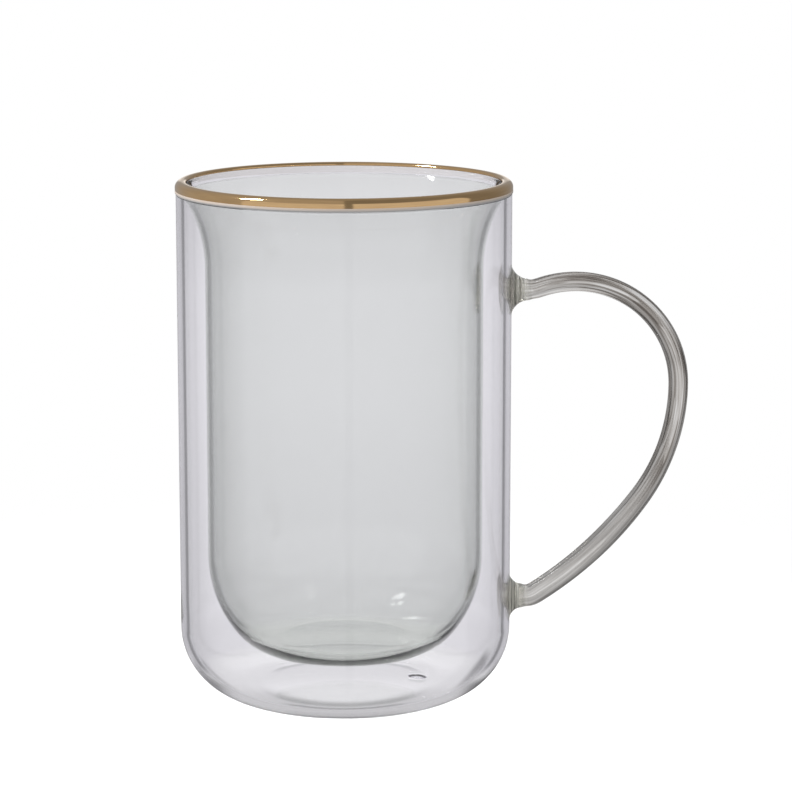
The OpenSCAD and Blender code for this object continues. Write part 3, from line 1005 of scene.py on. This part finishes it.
class MUG_OT_stage(bpy.types.Operator):
    """Builds the pale floor, the soft studio and the camera"""
    bl_idname = "mug.stage"
    bl_label = "Stage"

    def execute(self, context):
        scene = context.scene
        studio = scene.mug.studio
        self.floor(scene, studio)
        self.room(scene, studio)
        self.lamps(scene)
        self.camera(scene, studio)
        scene.view_settings.view_transform = "Standard"
        # Light crosses up to eight walls of glass before it leaves the mug
        scene.cycles.max_bounces = 32
        scene.cycles.transmission_bounces = 32
        scene.cycles.glossy_bounces = 16
        scene.cycles.transparent_max_bounces = 32
        return {"FINISHED"}

    @staticmethod
    def floor(scene, studio):
        """Round white floor that fades out at its edge, a hair below the mug's foot."""
        sides = 96
        rim = arc((0, 0), studio.floor_r, 0, 360 - 360 / sides, sides - 1)
        mesh = bpy.data.meshes.new("studio_floor")
        mesh.from_pydata([(x, y, 0) for x, y in rim], [], [list(range(sides))])
        mesh.materials.append(paper_finish("Matt White Paper Sweep"))
        floor = bpy.data.objects.new("studio_floor", mesh)
        scene.collection.objects.link(floor)
        floor.location.z = -0.01 * MM

    @staticmethod
    def room(scene, studio):
        """White backdrop for the camera, and a softer room in mirrors and through glass."""
        world = bpy.data.worlds.new("Studio")
        scene.world = world
        world.use_nodes = True
        world.node_tree.nodes.clear()
        add = partial(add_node, world.node_tree)
        way = add("ShaderNodeTexCoord").outputs["Generated"]
        axis = add("ShaderNodeSeparateXYZ", (way,)).outputs
        turn = add(MATH, (axis["X"], axis["Y"]), operation="ARCTAN2")
        level = room_light(add, studio, turn, axis["Z"])
        pale = backdrop_light(add, studio, turn, axis["Z"])
        soft = add("ShaderNodeBackground", (WHITE, level))
        through = add("ShaderNodeBackground", ((0.98, 0.975, 1.0, 1.0), pale))
        white = add("ShaderNodeBackground", (WHITE, 1.0))
        path = add("ShaderNodeLightPath").outputs
        shown = add("ShaderNodeMixShader", (path["Is Transmission Ray"], soft, through))
        shown = add("ShaderNodeMixShader", (path["Is Camera Ray"], shown, white))
        add("ShaderNodeOutputWorld", {"Surface": shown})

    @staticmethod
    def lamps(scene):
        """A large soft lamp overhead for the shadow and a small one for the highlights."""
        aim = Vector((0, 0, 0.06))
        # Name, place, width, depth, power, and whether metal and glass show the lamp
        lamps = (("overhead_softbox", (-0.25, -0.2, 1.1), 0.9, 0.9, 6.0, False),
                 ("small_softbox", (-0.75, -0.05, 0.97), 0.16, 0.3, 8.0, True))
        for name, place, wide, tall, power, mirrored in lamps:
            light = bpy.data.lights.new(name, "AREA")
            light.shape = "ELLIPSE"
            light.size = wide
            light.size_y = tall
            light.energy = power
            lamp = bpy.data.objects.new(name, light)
            scene.collection.objects.link(lamp)
            lamp.location = place
            lamp.rotation_euler = (aim - Vector(place)).to_track_quat("-Z", "Y").to_euler()
            lamp.visible_glossy = mirrored
            lamp.visible_transmission = mirrored

    @staticmethod
    def camera(scene, studio):
        """Camera at the picture's angle."""
        data = bpy.data.cameras.new("picture_camera")
        data.sensor_width = 36.0
        data.lens = studio.lens
        data.clip_start = 0.05
        data.clip_end = 20.0
        camera = bpy.data.objects.new("picture_camera", data)
        scene.collection.objects.link(camera)
        camera.location = studio.camera_place
        camera.rotation_euler = (90 * DEGREE - studio.camera_pitch, 0, -studio.camera_yaw)
        scene.camera = camera


class MUG_PT_panel(bpy.types.Panel):
    """Lists the mug's settings and its pieces"""
    bl_idname = "MUG_PT_panel"
    bl_label = "Glass Mug"
    bl_space_type = "VIEW_3D"
    bl_region_type = "UI"
    bl_category = "Glass Mug"

    def draw(self, context):
        settings = context.scene.mug
        for operator in OPERATORS:
            self.layout.operator(operator.bl_idname)
        for group in (settings.walls, settings.handle, settings.finishes, settings.studio):
            box = self.layout.box()
            box.label(text=group.bl_rna.description)
            for name in group.__annotations__:
                box.prop(group, name)


GROUPS = (MugWallSizes, MugHandleSizes, MugFinishes, MugStudio, MugSettings)
OPERATORS = (MUG_OT_jacket, MUG_OT_liner, MUG_OT_band, MUG_OT_handle, MUG_OT_stage)


def register():
    for cls in GROUPS + OPERATORS + (MUG_PT_panel,):
        bpy.utils.register_class(cls)
    bpy.types.Scene.mug = bpy.props.PointerProperty(type=MugSettings)


def unregister():
    del bpy.types.Scene.mug
    for cls in reversed(GROUPS + OPERATORS + (MUG_PT_panel,)):
        bpy.utils.unregister_class(cls)


def main():
    register()
    bpy.ops.mug.jacket()
    bpy.ops.mug.liner()
    bpy.ops.mug.band()
    bpy.ops.mug.handle()
    bpy.ops.mug.stage()


if __name__ == "__main__":
    main()
